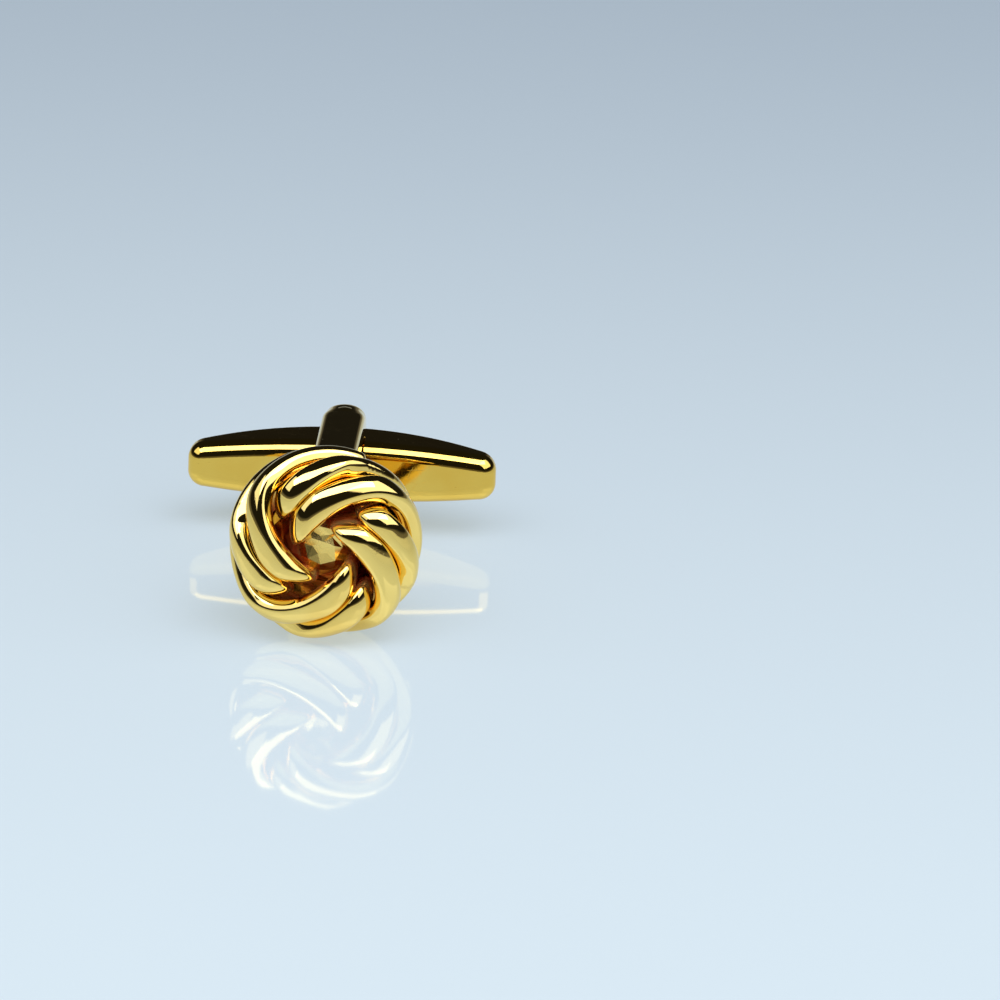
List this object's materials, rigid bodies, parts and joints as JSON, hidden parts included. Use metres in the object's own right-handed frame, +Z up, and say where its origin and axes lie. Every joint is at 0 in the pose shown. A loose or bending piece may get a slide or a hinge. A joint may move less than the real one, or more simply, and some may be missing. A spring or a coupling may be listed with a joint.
{
  "type": "cufflink",
  "caption": "Gold-plated knot cufflink with a forked post and a swivelling sprung bar that turns in line with the post to pass through shirt-cuff buttonholes.",
  "frame": {"origin": "centre of the bounding box's bottom, on the table that the link lies on", "axes": "+Z up from the table, -Y out of the knot's front, +X to the right as the knot is looked at"},
  "size_m": [0.0202, 0.023, 0.0123],
  "materials": {
    "polished_gold": "mirror-polished gold plate on brass",
    "cup_gold": "gold plate, as formed",
    "post_gold": "polished gold plate on brass",
    "pin_gold": "polished gold plate on brass",
    "bar_gold": "polished gold plate on brass",
    "spring_steel": "bare spring steel"
  },
  "bodies": {
    "head": {"knot_strand_1_inner": "polished_gold", "knot_strand_1_outer": "polished_gold", "knot_strand_2_inner": "polished_gold", "knot_strand_2_outer": "polished_gold", "knot_strand_3_inner": "polished_gold", "knot_strand_3_outer": "polished_gold", "knot_strand_4_inner": "polished_gold", "knot_strand_4_outer": "polished_gold", "back_cup": "cup_gold", "post_frame": "post_gold", "pivot_pin": "pin_gold"},
    "bar": {"bar_shell": "bar_gold", "bar_cover": "bar_gold", "front_leaf_spring": "spring_steel", "rear_leaf_spring": "spring_steel"}
  },
  "joints": [
    {"name": "bar_swivel", "type": "hinge", "parent": "head", "child": "bar", "pos_m": [0, 0.00922, 0.00406], "axis": [0, 0.1224, 0.9925], "range_deg": [-90, 90], "deforming": ["front_leaf_spring", "rear_leaf_spring"]}
  ]
}
